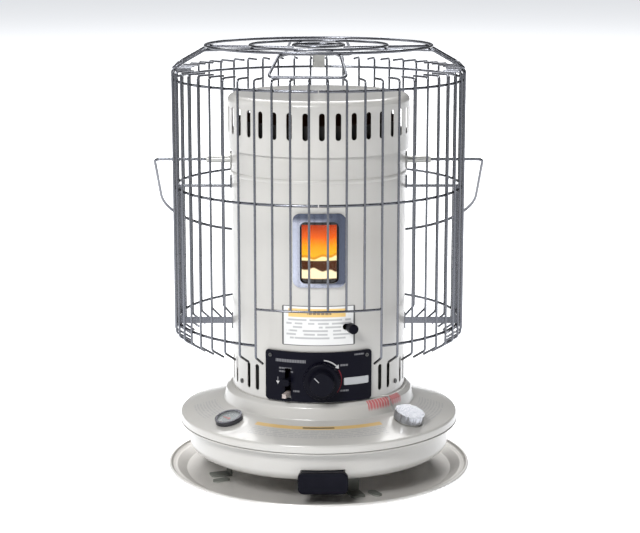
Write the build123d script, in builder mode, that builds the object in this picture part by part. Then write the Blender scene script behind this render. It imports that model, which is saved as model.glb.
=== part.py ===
from build123d import *
import os
from math import sin, cos, radians, sqrt

# Portable convection kerosene heater with a wire guard, hinged top grille and swinging bail.
# Millimetres, +Z up, front is -Y, the floor is Z = 0 and the cabinet axis is X = Y = 0.
# Angles called "deg" run from the front towards +X.
os.makedirs("parts", exist_ok=True)

# ---------------------------------------------------------------- driving sizes
SHEET = 1.2
TRAY_R = 222.5
TRAY_BEAD_R = 2.2
TANK_R = 190.0
TANK_BOTTOM_Z = 34.0
LIP_Z = 77.3
DECK_Z = 130.0
CABINET_R = 126.0
CABINET_WALL = 1.0
CABINET_TOP_Z = 481.0
CAP_R = 131.0
CAP_BOTTOM_Z = 479.0
CAP_TOP_Z = 556.0
SHIELD_R = 118.0
GUARD_R = 209.0
GUARD_WIRE_R = 1.65
GUARD_WIRES = 52
RING_WIRE_R = 2.0
HOOK_Z = 591.4
BAIL_WIRE_R = 2.25
BAIL_Z = 460.0
BAIL_HALF = 237.0
BAIL_REST_DEG = 55.7
GRILLE_WIRE_R = 2.1
GRILLE_RING_Z = 624.1
GRILLE_LOOP_Z = GRILLE_RING_Z - 2 * GRILLE_WIRE_R
LEG_DEGS = (20, 110, 200, 290)
CAP_DEG = 49
GAUGE_DEG = -49
FITTING_R = 168.0
FITTING_Z = 100.45
TOP_SLOPE_DEG = 16.04
KNOB_X = 4.5
KNOB_Z = 164.0
PINION_R = 7.5
SHAFT_R = 3.0
RACK_Y = -89.0
SLOT_DEG = -19.5
BURNER_KNOB_DEG = 19.6
BURNER_KNOB_Z = 239.4
WINDOW_X = 1.0
WINDOW_Z = 347.0
BATTERY_X = 6.0


def wall_plane(deg, z, r=0.0):
    """Plane facing outwards at an angle round the cabinet: local x sideways, local y up."""
    a = radians(deg)
    return Plane(origin=(r * sin(a), -r * cos(a), z), x_dir=(cos(a), sin(a), 0), z_dir=(sin(a), -cos(a), 0))


def slope_plane(deg, lift=0.0):
    """Plane lying on the sloping tank top at a fitting: local z is the outward normal."""
    a = radians(deg)
    t = radians(TOP_SLOPE_DEG)
    n = (sin(a) * sin(t), -cos(a) * sin(t), cos(t))
    o = (FITTING_R * sin(a) + n[0] * lift, -FITTING_R * cos(a) + n[1] * lift, FITTING_Z + n[2] * lift)
    return Plane(origin=o, x_dir=(cos(a), sin(a), 0), z_dir=n)


def level_plane(deg, r, z):
    """Horizontal plane at an angle: local x sideways, local y towards the axis."""
    a = radians(deg)
    return Plane(origin=(r * sin(a), -r * cos(a), z), x_dir=(cos(a), sin(a), 0), z_dir=(0, 0, 1))


def save(part, label):
    part.label = label
    export_step(part, "parts/" + label + ".step")


# ---------------------------------------------------------------- drip tray and legs
TRAY_FLOOR_R = 196.0
TRAY_BEAD_Z = 9.8
with BuildPart() as tray:
    with BuildSketch(Plane.XZ):
        with BuildLine():
            FilletPolyline(
                (20, 0.6), (TRAY_FLOOR_R, 0.6), (210, 7.6), (216, 7.2), (TRAY_R - TRAY_BEAD_R, TRAY_BEAD_Z),
                radius=2,
            )
        trace(line_width=SHEET)
    revolve(axis=Axis.Z)
    with BuildSketch(Plane.XZ):
        with Locations((TRAY_R - TRAY_BEAD_R, TRAY_BEAD_Z)):
            Circle(TRAY_BEAD_R)
    revolve(axis=Axis.Z)
    with BuildSketch():
        Circle(21)
    extrude(amount=SHEET)
save(tray.part, "drip_tray")

LEG_W = 20.0
LEG_R = 139.0
LEG_FOOT_R = 168.0
LEG_T = 2.5
TONGUE_OFFSET_DEG = 9.5
with BuildPart() as legs:
    for leg_deg in LEG_DEGS:
        with BuildSketch(level_plane(leg_deg, LEG_R, SHEET)):
            Rectangle(LEG_W, LEG_T)
        extrude(amount=TANK_BOTTOM_Z - SHEET)
        with BuildSketch(level_plane(leg_deg, (LEG_R + LEG_FOOT_R) / 2, SHEET)):
            RectangleRounded(LEG_W, LEG_FOOT_R - LEG_R, 4)
        extrude(amount=LEG_T)
        with BuildSketch(level_plane(leg_deg, LEG_R + 9, TANK_BOTTOM_Z - 2)):
            Rectangle(LEG_W, 18)
        extrude(amount=2)
    for leg_deg in LEG_DEGS:
        with BuildSketch(level_plane(leg_deg + TONGUE_OFFSET_DEG, 162, SHEET)):
            SlotOverall(26, 13, rotation=90)
        extrude(amount=2.2)
save(legs.part, "legs")

# ---------------------------------------------------------------- fuel tank
POCKET_W = 62.0
POCKET_Z = 51.8
POCKET_BACK_Y = -84.0
POCKET_T = 1.2
DRAFT_HOLE_R = 40.1
with BuildPart() as tank_lower:
    with BuildSketch(Plane.XZ):
        with BuildLine():
            FilletPolyline(
                (DRAFT_HOLE_R + 0.6, TANK_BOTTOM_Z + 0.6), (TANK_R, TANK_BOTTOM_Z + 0.6), (TANK_R, LIP_Z),
                radius=14,
            )
            Line((TANK_R, LIP_Z), (202.6, LIP_Z))
        trace(line_width=SHEET)
    revolve(axis=Axis.Z)
    with BuildSketch(Plane.XZ):
        with Locations((202.9, LIP_Z)):
            Circle(1.3)
    revolve(axis=Axis.Z)
    with BuildSketch(Plane.XY.offset(TANK_BOTTOM_Z)):
        with Locations((BATTERY_X, POCKET_BACK_Y - 60 + POCKET_T)):
            Rectangle(POCKET_W + 2 * POCKET_T, 120)
        Circle(TANK_R, mode=Mode.INTERSECT)
    extrude(amount=POCKET_Z + POCKET_T - TANK_BOTTOM_Z)
    with BuildSketch(Plane.XY.offset(TANK_BOTTOM_Z - 4)):
        with Locations((BATTERY_X, POCKET_BACK_Y - 70)):
            Rectangle(POCKET_W, 140)
    extrude(amount=POCKET_Z - TANK_BOTTOM_Z + 4, mode=Mode.SUBTRACT)
save(tank_lower.part, "tank_lower")

NECK_R = 17.2
GAUGE_STEM_R = 6.0
GUIDE_R = 48.7
with BuildPart() as tank_upper:
    with BuildSketch(Plane.XZ):
        with BuildLine():
            FilletPolyline(
                (GUIDE_R + 0.7, DECK_Z - 0.6), (129.6, DECK_Z - 0.6), (135.5, 125), (139, 107.4),
                (150, 105.0),
                (190, 93.5), (203.0, 89.5), (203.0, LIP_Z + 2.2), radius=3,
            )
        trace(line_width=SHEET)
    revolve(axis=Axis.Z)
    with BuildSketch(slope_plane(CAP_DEG, -12)):
        Circle(NECK_R + 0.05)
    extrude(amount=24, mode=Mode.SUBTRACT)
    with BuildSketch(slope_plane(GAUGE_DEG, -12)):
        Circle(GAUGE_STEM_R + 0.05)
    extrude(amount=24, mode=Mode.SUBTRACT)
save(tank_upper.part, "tank_upper")

DRAFT_R = 40.0
DRAFT_TOP_Z = 152.0
with BuildPart() as draft_tube:
    with BuildSketch(Plane.XY.offset(TANK_BOTTOM_Z - 1)):
        Circle(DRAFT_R)
        Circle(DRAFT_R - SHEET, mode=Mode.SUBTRACT)
    extrude(amount=DRAFT_TOP_Z - TANK_BOTTOM_Z + 1)
    with BuildSketch(Plane.XY.offset(TANK_BOTTOM_Z - 1)):
        Circle(52)
        Circle(DRAFT_R - 0.5, mode=Mode.SUBTRACT)
    extrude(amount=1)
save(draft_tube.part, "draft_tube")

GUIDE_FLANGE_R = 62.0
ARM_W = 8.0
with BuildPart() as wick_guide:
    with BuildSketch(Plane.XY.offset(92)):
        Circle(GUIDE_R)
        Circle(GUIDE_R - SHEET, mode=Mode.SUBTRACT)
    extrude(amount=DRAFT_TOP_Z - 92)
    with BuildSketch(Plane.XY.offset(DECK_Z)):
        Circle(GUIDE_FLANGE_R)
        Circle(GUIDE_R - 0.5, mode=Mode.SUBTRACT)
    extrude(amount=SHEET)
    with BuildSketch(Plane.XY.offset(DECK_Z)):
        with Locations((KNOB_X - PINION_R - 4, -GUIDE_R)):
            Rectangle(ARM_W + 1, 30)
    extrude(amount=30, mode=Mode.SUBTRACT)
save(wick_guide.part, "wick_guide")

# ---------------------------------------------------------------- filler neck, cap and tether
with BuildPart() as filler_neck:
    with BuildSketch(slope_plane(CAP_DEG, -14)):
        Circle(NECK_R)
        Circle(NECK_R - 1.4, mode=Mode.SUBTRACT)
    extrude(amount=23)
    with BuildSketch(slope_plane(CAP_DEG, 0.7)):
        Circle(20.5)
        Circle(NECK_R - 0.5, mode=Mode.SUBTRACT)
    extrude(amount=1)
save(filler_neck.part, "filler_neck")

CAP_LOBES = 12
FILLER_CAP_R = 21.5
with BuildPart() as filler_cap:
    with BuildSketch(slope_plane(CAP_DEG, 3.4)):
        Circle(FILLER_CAP_R)
        with PolarLocations(FILLER_CAP_R + 2.6, CAP_LOBES):
            Circle(3.6, mode=Mode.SUBTRACT)
    extrude(amount=11.6)
    fillet(filler_cap.faces().sort_by(Axis.Z)[-1].edges(), 1.2)
    with BuildSketch(slope_plane(CAP_DEG, 3.4)):
        Circle(NECK_R + 0.5)
    extrude(amount=8.4, mode=Mode.SUBTRACT)
save(filler_cap.part, "filler_cap")

with BuildPart() as cap_seal:
    with BuildSketch(slope_plane(CAP_DEG, 9.1)):
        Circle(NECK_R + 0.1)
    extrude(amount=2.4)
save(cap_seal.part, "filler_cap_seal")

TETHER_R = 0.8
with BuildPart() as tether:
    with BuildLine() as tether_path:
        FilletPolyline(
            (90.5, -91.5, 131.6), (99.5, -92.5, 131.6), (107, -95.5, 110.4), (112.6, -97.8, 108.5),
            radius=2,
        )
    with BuildSketch(Plane(origin=tether_path.line @ 0, z_dir=tether_path.line % 0)):
        Circle(TETHER_R)
    sweep()
    with BuildSketch(slope_plane(CAP_DEG, 1.9)):
        Circle(20.0)
        Circle(NECK_R + 0.6, mode=Mode.SUBTRACT)
    extrude(amount=1.2)
save(tether.part, "cap_tether")

# ---------------------------------------------------------------- fuel gauge with its float
FLOAT_Z = 66.0
FLOAT_PIVOT_R = 160.0
FLOAT_ARM = 45.0
with BuildPart() as gauge_body:
    with BuildSketch(slope_plane(GAUGE_DEG, 0.7)):
        Circle(20)
    extrude(amount=1.2)
    with BuildSketch(slope_plane(GAUGE_DEG, 1.9)):
        Circle(20)
        Circle(18.2, mode=Mode.SUBTRACT)
    extrude(amount=4.2)
    with BuildSketch(slope_plane(GAUGE_DEG, 6.1)):
        Circle(20)
        Circle(16.6, mode=Mode.SUBTRACT)
    extrude(amount=1)
    with BuildSketch(slope_plane(GAUGE_DEG, -10)):
        Circle(GAUGE_STEM_R)
    extrude(amount=10.8)
    with BuildSketch(slope_plane(GAUGE_DEG, -11)):
        Circle(1.1)
    extrude(amount=15, mode=Mode.SUBTRACT)
    with BuildSketch(wall_plane(GAUGE_DEG, FLOAT_Z, FLOAT_PIVOT_R + 1)):
        with Locations((0, 11)):
            Rectangle(9, 30)
    extrude(amount=1.5)
    with BuildSketch(wall_plane(GAUGE_DEG, FLOAT_Z, FLOAT_PIVOT_R - 6)):
        Circle(1.5)
    extrude(amount=7.5)
save(gauge_body.part, "gauge_body")

with BuildPart() as gauge_dial:
    with BuildSketch(slope_plane(GAUGE_DEG, 1.9)):
        Circle(18.0)
        Circle(1.4, mode=Mode.SUBTRACT)
    extrude(amount=0.6)
save(gauge_dial.part, "gauge_dial")

with BuildPart() as gauge_needle:
    with BuildSketch(slope_plane(GAUGE_DEG, -9.5)):
        Circle(1.04)
    extrude(amount=13)
    with BuildSketch(slope_plane(GAUGE_DEG, 3.0)):
        Circle(2.4)
        with Locations((-6, 0)):
            Rectangle(13, 1.6)
    extrude(amount=0.6)
save(gauge_needle.part, "gauge_needle")

with BuildPart() as gauge_lens:
    with BuildSketch(slope_plane(GAUGE_DEG, 4.9)):
        Circle(18.1)
    extrude(amount=1.2)
save(gauge_lens.part, "gauge_lens")

with BuildPart() as float_arm:
    with BuildSketch(wall_plane(GAUGE_DEG, FLOAT_Z, FLOAT_PIVOT_R - 4)):
        Circle(4)
        with Locations((-FLOAT_ARM / 2, 0)):
            Rectangle(FLOAT_ARM, 3)
        Circle(1.56, mode=Mode.SUBTRACT)
    extrude(amount=3)
save(float_arm.part, "float_arm")

with BuildPart() as fuel_float:
    with BuildSketch(wall_plane(GAUGE_DEG, FLOAT_Z, FLOAT_PIVOT_R - 16)):
        with Locations((-FLOAT_ARM - 9, 0)):
            Circle(9)
    extrude(amount=24)
save(fuel_float.part, "fuel_float")

# ---------------------------------------------------------------- battery case under the tank
FACE_W = 70.0
FACE_H = 31.0
CASE_W = 58.0
CASE_Z0 = 20.5
CASE_Z1 = 51.0
CASE_FRONT_Y = -192.5
CASE_BACK_Y = -86.0
CASE_WALL = 1.2
with BuildPart() as battery_case:
    with BuildSketch(Plane.XY.offset(CASE_Z0)):
        with Locations((BATTERY_X, (CASE_FRONT_Y + CASE_BACK_Y) / 2)):
            Rectangle(CASE_W, CASE_BACK_Y - CASE_FRONT_Y)
    extrude(amount=CASE_Z1 - CASE_Z0)
    with BuildSketch(Plane.XY.offset(CASE_Z0 + CASE_WALL)):
        with Locations((BATTERY_X, (CASE_FRONT_Y + CASE_BACK_Y) / 2 - 5)):
            Rectangle(CASE_W - 2 * CASE_WALL, CASE_BACK_Y - CASE_FRONT_Y + 10 - 2 * CASE_WALL)
    extrude(amount=CASE_Z1 - CASE_Z0 - 2 * CASE_WALL, mode=Mode.SUBTRACT)
    with BuildSketch(Plane.XY.offset(TANK_BOTTOM_Z - 1.4)):
        with Locations((BATTERY_X - CASE_W / 2 - 6, -120), (BATTERY_X - CASE_W / 2 - 6, -160)):
            Rectangle(14, 12)
        with Locations((BATTERY_X, CASE_BACK_Y + 6)):
            Rectangle(20, 14)
    extrude(amount=1.4)
save(battery_case.part, "battery_case")

CELL_R = 12.9
CELL_LEN = 49.0
DRAWER_Z = CASE_Z0 + CASE_WALL + 0.5
with BuildPart() as battery_drawer:
    with BuildSketch(Plane(origin=(BATTERY_X, CASE_FRONT_Y - 0.5, 35.5), x_dir=(1, 0, 0), z_dir=(0, -1, 0))):
        RectangleRounded(FACE_W, FACE_H, 8.6)
    extrude(amount=9.5)
    fillet(battery_drawer.faces().sort_by(Axis.Y)[0].edges(), 2.5)
    with BuildSketch(Plane.XY.offset(DRAWER_Z)):
        with Locations((BATTERY_X, CASE_FRONT_Y + 51.2)):
            Rectangle(54.6, 104)
    extrude(amount=16)
    with BuildSketch(Plane.XY.offset(DRAWER_Z + 1)):
        with Locations((BATTERY_X, CASE_FRONT_Y + 51.0)):
            Rectangle(52.6, 102)
    extrude(amount=20, mode=Mode.SUBTRACT)
save(battery_drawer.part, "battery_drawer")

with BuildPart() as cells:
    for cell_x in (-13.05, 13.05):
        for cell_y in (0.0, 50.6):
            cell_plane = Plane(
                origin=(BATTERY_X + cell_x, CASE_FRONT_Y + 1.2 + cell_y, DRAWER_Z + 1 + CELL_R),
                x_dir=(1, 0, 0), z_dir=(0, 1, 0),
            )
            with BuildSketch(cell_plane):
                Circle(CELL_R)
            extrude(amount=CELL_LEN)
            with BuildSketch(cell_plane.offset(CELL_LEN)):
                Circle(3)
            extrude(amount=1.2)
save(cells.part, "battery_cells")

# ---------------------------------------------------------------- cabinet, shield and cap
WINDOW_CUT_W = 56.0
WINDOW_CUT_H = 89.0
PANEL_CUT_W = 96.0
PANEL_CUT_H = 56.0
PANEL_CUT_Z = 167.0
REAR_SLOTS = 33
SLOT_PITCH_DEG = 8.5
with BuildPart() as cabinet:
    with BuildSketch(Plane.XY.offset(DECK_Z)):
        Circle(CABINET_R)
        Circle(CABINET_R - CABINET_WALL, mode=Mode.SUBTRACT)
    extrude(amount=CABINET_TOP_Z + 4 - DECK_Z)
    with BuildSketch(Plane.XZ):
        with Locations((CABINET_R, 444)):
            Ellipse(1.3, 3.2)
        with Locations((CABINET_R - 30 - CABINET_WALL, 444)):
            Rectangle(60, 10, mode=Mode.SUBTRACT)
    revolve(axis=Axis.Z)
    with BuildSketch(wall_plane(0, WINDOW_Z)):
        with Locations((WINDOW_X, 0)):
            RectangleRounded(WINDOW_CUT_W, WINDOW_CUT_H, 9)
    extrude(amount=CABINET_R + 5, mode=Mode.SUBTRACT)
    with BuildSketch(wall_plane(0, PANEL_CUT_Z)):
        RectangleRounded(PANEL_CUT_W, PANEL_CUT_H, 5)
    extrude(amount=CABINET_R + 5, mode=Mode.SUBTRACT)
    with BuildSketch(wall_plane(BURNER_KNOB_DEG, BURNER_KNOB_Z)):
        SlotOverall(18, 9)
    extrude(amount=CABINET_R + 5, mode=Mode.SUBTRACT)
    for j in range(REAR_SLOTS):
        slot_deg = 180 + SLOT_PITCH_DEG * (j - REAR_SLOTS // 2)
        if j not in (2, 9, 23, 30):
            with BuildSketch(wall_plane(slot_deg, 159)):
                SlotOverall(38, 7.4, rotation=90)
            extrude(amount=CABINET_R + 5, mode=Mode.SUBTRACT)
save(cabinet.part, "cabinet")

with BuildPart() as cabinet_screws:
    for j in (2, 9, 23, 30):
        with BuildSketch(wall_plane(180 + SLOT_PITCH_DEG * (j - REAR_SLOTS // 2), 146, CABINET_R)):
            Circle(3.4)
        extrude(amount=1.6)
save(cabinet_screws.part, "cabinet_screws")

SHIELD_TOP_Z = 521.0
with BuildPart() as shield:
    with BuildSketch(Plane.XY.offset(DECK_Z)):
        Circle(SHIELD_R)
        Circle(SHIELD_R - CABINET_WALL, mode=Mode.SUBTRACT)
    extrude(amount=SHIELD_TOP_Z - DECK_Z)
    with BuildSketch(wall_plane(0, WINDOW_Z)):
        with Locations((WINDOW_X, 0)):
            RectangleRounded(62, 95, 9)
    extrude(amount=CABINET_R, mode=Mode.SUBTRACT)
    with BuildSketch(wall_plane(0, PANEL_CUT_Z - 3)):
        RectangleRounded(100, 66, 5)
    extrude(amount=CABINET_R, mode=Mode.SUBTRACT)
    with BuildSketch(wall_plane(BURNER_KNOB_DEG, BURNER_KNOB_Z)):
        SlotOverall(18, 9)
    extrude(amount=CABINET_R, mode=Mode.SUBTRACT)
save(shield.part, "heat_shield")

CAP_SLOTS = 36
CAP_SLOT_OFFSET_DEG = 2.0
with BuildPart() as cap:
    with BuildSketch(Plane.XZ):
        with BuildLine():
            FilletPolyline(
                (20, CAP_TOP_Z - 0.5), (CAP_R - 0.5, CAP_TOP_Z - 0.5), (CAP_R - 0.5, CAP_BOTTOM_Z + 0.5),
                radius=9,
            )
            Line((CAP_R - 0.5, CAP_BOTTOM_Z + 0.5), (CABINET_R + 0.55, CAP_BOTTOM_Z + 0.5))
        trace(line_width=1.0)
    revolve(axis=Axis.Z)
    with BuildSketch(Plane.XY.offset(CAP_TOP_Z - 1)):
        Circle(21)
    extrude(amount=1)
    for k in range(CAP_SLOTS):
        with BuildSketch(wall_plane(CAP_SLOT_OFFSET_DEG + 360 / CAP_SLOTS * k, 521)):
            SlotOverall(38, 8, rotation=90)
        extrude(amount=CAP_R + 5, mode=Mode.SUBTRACT)
save(cap.part, "cabinet_cap")

# ---------------------------------------------------------------- window
with BuildPart() as window_frame:
    with BuildSketch(wall_plane(0, WINDOW_Z + 2)):
        with Locations((WINDOW_X, 0)):
            RectangleRounded(74.4, 104, 11)
        with Locations((WINDOW_X, -3)):
            RectangleRounded(54, 87, 8, mode=Mode.SUBTRACT)
    extrude(amount=CABINET_R + 12)
    with BuildSketch(Plane.XY.offset(WINDOW_Z - 80)):
        Circle(CABINET_R + 4)
        Circle(CABINET_R, mode=Mode.SUBTRACT)
    extrude(amount=160, mode=Mode.INTERSECT)
    chamfer(window_frame.faces().filter_by(GeomType.CYLINDER).sort_by(SortBy.AREA)[-1].edges(), 1.4)
save(window_frame.part, "window_frame")

with BuildPart() as window_pane:
    with BuildSketch(wall_plane(0, WINDOW_Z)):
        with Locations((WINDOW_X, 0)):
            RectangleRounded(66, 99, 6)
    extrude(amount=CABINET_R)
    with BuildSketch(Plane.XY.offset(WINDOW_Z - 80)):
        Circle(CABINET_R - CABINET_WALL)
        Circle(CABINET_R - CABINET_WALL - 1.0, mode=Mode.SUBTRACT)
    extrude(amount=160, mode=Mode.INTERSECT)
save(window_pane.part, "window_pane")

with BuildPart() as cabinet_label:
    with BuildSketch(wall_plane(0, 241.5)):
        RectangleRounded(102.5, 57, 2)
    extrude(amount=CABINET_R + 12)
    with BuildSketch(wall_plane(BURNER_KNOB_DEG, BURNER_KNOB_Z)):
        SlotOverall(18, 9)
    extrude(amount=CABINET_R + 5, mode=Mode.SUBTRACT)
    with BuildSketch(Plane.XY.offset(200)):
        Circle(CABINET_R + 0.5)
        Circle(CABINET_R, mode=Mode.SUBTRACT)
    extrude(amount=80, mode=Mode.INTERSECT)
save(cabinet_label.part, "cabinet_label")

# ---------------------------------------------------------------- control panel
PANEL_R = 130.0
PANEL_Z = 168.0
PANEL_H = 72.0
PANEL_W = 150.0
SLOT_W = 9.0
with BuildPart() as panel:
    with BuildSketch(wall_plane(0, PANEL_Z)):
        RectangleRounded(PANEL_W, PANEL_H, 5)
    extrude(amount=CABINET_R + 12)
    with BuildSketch(Plane.XY.offset(DECK_Z)):
        Circle(PANEL_R)
        Circle(CABINET_R, mode=Mode.SUBTRACT)
    extrude(amount=90, mode=Mode.INTERSECT)
    chamfer(panel.faces().filter_by(GeomType.CYLINDER).sort_by(SortBy.AREA)[-1].edges(), 1.2)
    with BuildSketch(wall_plane(SLOT_DEG, 158)):
        Rectangle(SLOT_W, 44)
    extrude(amount=CABINET_R + 12, mode=Mode.SUBTRACT)
    with BuildSketch(wall_plane(0, KNOB_Z)):
        with Locations((KNOB_X, 0)):
            Circle(SHAFT_R + 1.2)
    extrude(amount=CABINET_R + 12, mode=Mode.SUBTRACT)
save(panel.part, "control_panel")

with BuildPart() as panel_screws:
    for screw_deg in (-31.5, 31.5):
        with BuildSketch(wall_plane(screw_deg, 197, PANEL_R)):
            Circle(2.6)
        extrude(amount=1.2)
save(panel_screws.part, "panel_screws")

PLATE_DEG = 24.3
PLATE_Z = 161.6
with BuildPart() as panel_plate:
    with BuildSketch(wall_plane(PLATE_DEG, PLATE_Z)):
        RectangleRounded(38, 10.5, 1.5)
    extrude(amount=CABINET_R + 12)
    with BuildSketch(Plane.XY.offset(DECK_Z)):
        Circle(PANEL_R + 0.8)
        Circle(PANEL_R, mode=Mode.SUBTRACT)
    extrude(amount=60, mode=Mode.INTERSECT)
save(panel_plate.part, "panel_plate")

KNOB_R = 26.0
KNOB_FACE_Y = -158.0
KNOB_BACK_Y = -132.0
KNOB_GRIPS = 24
knob_plane = Plane(origin=(KNOB_X, KNOB_BACK_Y, KNOB_Z), x_dir=(1, 0, 0), z_dir=(0, -1, 0))
with BuildPart() as wick_knob:
    with BuildSketch(knob_plane):
        Circle(KNOB_R)
    extrude(amount=9)
    fillet(wick_knob.faces().sort_by(Axis.Y)[0].edges(), 3)
    with BuildSketch(knob_plane.offset(8)):
        Circle(19)
    extrude(amount=KNOB_BACK_Y - KNOB_FACE_Y - 8, taper=7)
    with BuildSketch(knob_plane):
        with PolarLocations(KNOB_R + 0.7, KNOB_GRIPS):
            Circle(1.6)
    extrude(amount=12, mode=Mode.SUBTRACT)
    fillet(wick_knob.faces().sort_by(Axis.Y)[0].edges(), 1.6)
    with BuildSketch(knob_plane):
        Circle(SHAFT_R)
    extrude(amount=14, mode=Mode.SUBTRACT)
save(wick_knob.part, "wick_knob")

SHAFT_IN_Y = -83.0
with BuildPart() as knob_shaft:
    with BuildSketch(Plane(origin=(KNOB_X, SHAFT_IN_Y, KNOB_Z), x_dir=(1, 0, 0), z_dir=(0, -1, 0))):
        Circle(SHAFT_R)
    extrude(amount=SHAFT_IN_Y - KNOB_BACK_Y + 13.9)
save(knob_shaft.part, "knob_shaft")

PINION_TEETH = 15
PINION_W = 7.0
with BuildPart() as pinion:
    with BuildSketch(Plane(origin=(KNOB_X, RACK_Y + PINION_W / 2, KNOB_Z), x_dir=(1, 0, 0), z_dir=(0, -1, 0))):
        Circle(PINION_R - 1.2)
        with PolarLocations(PINION_R - 0.3, PINION_TEETH, start_angle=12):
            Trapezoid(1.9, 2.0, 74, rotation=-90)
        Circle(SHAFT_R, mode=Mode.SUBTRACT)
    extrude(amount=PINION_W)
save(pinion.part, "wick_pinion")

with BuildPart() as gear_bracket:
    with BuildSketch(Plane.XZ.offset(97)):
        with Locations((KNOB_X, (DECK_Z + KNOB_Z + 10) / 2)):
            RectangleRounded(24, KNOB_Z + 10 - DECK_Z, 3)
    extrude(amount=2)
    with BuildSketch(Plane.XY.offset(DECK_Z)):
        with Locations((KNOB_X, -104)):
            Rectangle(24, 12)
    extrude(amount=1.5)
    with BuildSketch(Plane.XZ.offset(90)):
        with Locations((KNOB_X, KNOB_Z)):
            Circle(SHAFT_R + 0.06)
    extrude(amount=20, mode=Mode.SUBTRACT)
save(gear_bracket.part, "gear_bracket")

# ---------------------------------------------------------------- wick and its carrier
WICK_TOP_Z = 158.0
WICK_R = 45.3
CARRIER_R = 46.6
RACK_X = KNOB_X - PINION_R
TOOTH_PITCH = 3.14159
RACK_TEETH = 10
with BuildPart() as wick:
    with BuildSketch(Plane.XY.offset(70)):
        Circle(WICK_R)
        Circle(WICK_R - 2.8, mode=Mode.SUBTRACT)
    extrude(amount=WICK_TOP_Z - 70)
save(wick.part, "wick")

with BuildPart() as wick_carrier:
    with BuildSketch(Plane.XY.offset(100)):
        Circle(CARRIER_R)
        Circle(WICK_R, mode=Mode.SUBTRACT)
    extrude(amount=52)
    with BuildSketch(Plane.XY.offset(152.0)):
        with Locations((RACK_X - 4, (RACK_Y - CARRIER_R) / 2)):
            Rectangle(ARM_W - 1, -CARRIER_R - RACK_Y + 3)
        Circle(WICK_R, mode=Mode.SUBTRACT)
    extrude(amount=1.2)
    with BuildSketch(Plane.XZ.offset(-RACK_Y - PINION_W / 2)):
        with Locations((RACK_X - 3.2, 171)):
            Rectangle(4, 38)
        with Locations([(RACK_X - 0.2, KNOB_Z + TOOTH_PITCH * (k - 1.5)) for k in range(RACK_TEETH)]):
            Trapezoid(1.9, 2.0, 74, rotation=-90)
    extrude(amount=PINION_W)
save(wick_carrier.part, "wick_carrier")

# ---------------------------------------------------------------- burner
BURNER_BASE_Z = 162.0
DRUM_R = 76.0
DRUM_TOP_Z = 262.0
SLEEVE_TOP_Z = 318.0
with BuildPart() as burner_seat:
    with BuildSketch(Plane.XY.offset(BURNER_BASE_Z - 1.5)):
        Circle(73)
        Circle(64, mode=Mode.SUBTRACT)
    extrude(amount=1.5)
    for post_deg in (60, 180, 300):
        with BuildSketch(level_plane(post_deg, 69, DECK_Z)):
            Circle(3)
        extrude(amount=BURNER_BASE_Z - 1 - DECK_Z)
    with BuildSketch(Plane.XY.offset(BURNER_BASE_Z - 4)):
        with Locations((0, -75)):
            Rectangle(60, 24)
    extrude(amount=6, mode=Mode.SUBTRACT)
save(burner_seat.part, "burner_seat")

with BuildPart() as burner_drum:
    with BuildSketch(Plane.XY.offset(BURNER_BASE_Z + 0.3)):
        Circle(DRUM_R)
        Circle(51, mode=Mode.SUBTRACT)
    extrude(amount=1.2)
    with BuildSketch(Plane.XY.offset(BURNER_BASE_Z + 0.3)):
        Circle(DRUM_R)
        Circle(DRUM_R - 1, mode=Mode.SUBTRACT)
    extrude(amount=DRUM_TOP_Z - BURNER_BASE_Z - 0.3)
    with BuildSketch(Plane.XY.offset(DRUM_TOP_Z)):
        Circle(DRUM_R + 4)
        Circle(DRUM_R - 8, mode=Mode.SUBTRACT)
    extrude(amount=1.2)
    for clip_deg in (60, 180, 300):
        with BuildSketch(level_plane(clip_deg, DRUM_R + 0.2, DRUM_TOP_Z + 1.2)):
            Rectangle(10, 3)
        extrude(amount=14)
save(burner_drum.part, "burner_drum")

with BuildPart() as outer_sleeve:
    with BuildSketch(Plane.XY.offset(BURNER_BASE_Z + 1.5)):
        Circle(55)
        Circle(54, mode=Mode.SUBTRACT)
    extrude(amount=SLEEVE_TOP_Z - BURNER_BASE_Z - 1.5)
    with BuildSketch(Plane.XY.offset(BURNER_BASE_Z + 1.5)):
        Circle(60)
        Circle(54, mode=Mode.SUBTRACT)
    extrude(amount=1)
    for row in range(4):
        for hole in range(18):
            with BuildSketch(wall_plane(20 * hole + 10 * (row % 2) + 5, 200 + 28 * row)):
                Circle(3)
            extrude(amount=60, mode=Mode.SUBTRACT)
    for pin_deg in (90, 270):
        with BuildSketch(wall_plane(pin_deg, 304, 39.1)):
            Circle(1.5)
        extrude(amount=15.4)
save(outer_sleeve.part, "burner_outer_sleeve")

with BuildPart() as inner_sleeve:
    with BuildSketch(Plane.XY.offset(DRAFT_TOP_Z + 0.3)):
        Circle(39)
        Circle(38, mode=Mode.SUBTRACT)
    extrude(amount=SLEEVE_TOP_Z - DRAFT_TOP_Z - 0.3)
    for row in range(4):
        for hole in range(12):
            with BuildSketch(wall_plane(30 * hole + 15 * (row % 2) + 5, 200 + 28 * row)):
                Circle(3)
            extrude(amount=45, mode=Mode.SUBTRACT)
save(inner_sleeve.part, "burner_inner_sleeve")

with BuildPart() as spreader:
    with BuildSketch(Plane.XY.offset(SLEEVE_TOP_Z)):
        Circle(44)
    extrude(amount=1.5)
    with BuildSketch(Plane.XY.offset(SLEEVE_TOP_Z + 1.5)):
        Circle(30)
    extrude(amount=14, taper=35)
save(spreader.part, "flame_spreader")

with BuildPart() as chimney:
    with BuildSketch(Plane.XY.offset(DRUM_TOP_Z + 1.2)):
        Circle(DRUM_R - 2)
        Circle(DRUM_R - 5, mode=Mode.SUBTRACT)
    extrude(amount=150)
save(chimney.part, "chimney_glass")

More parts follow.
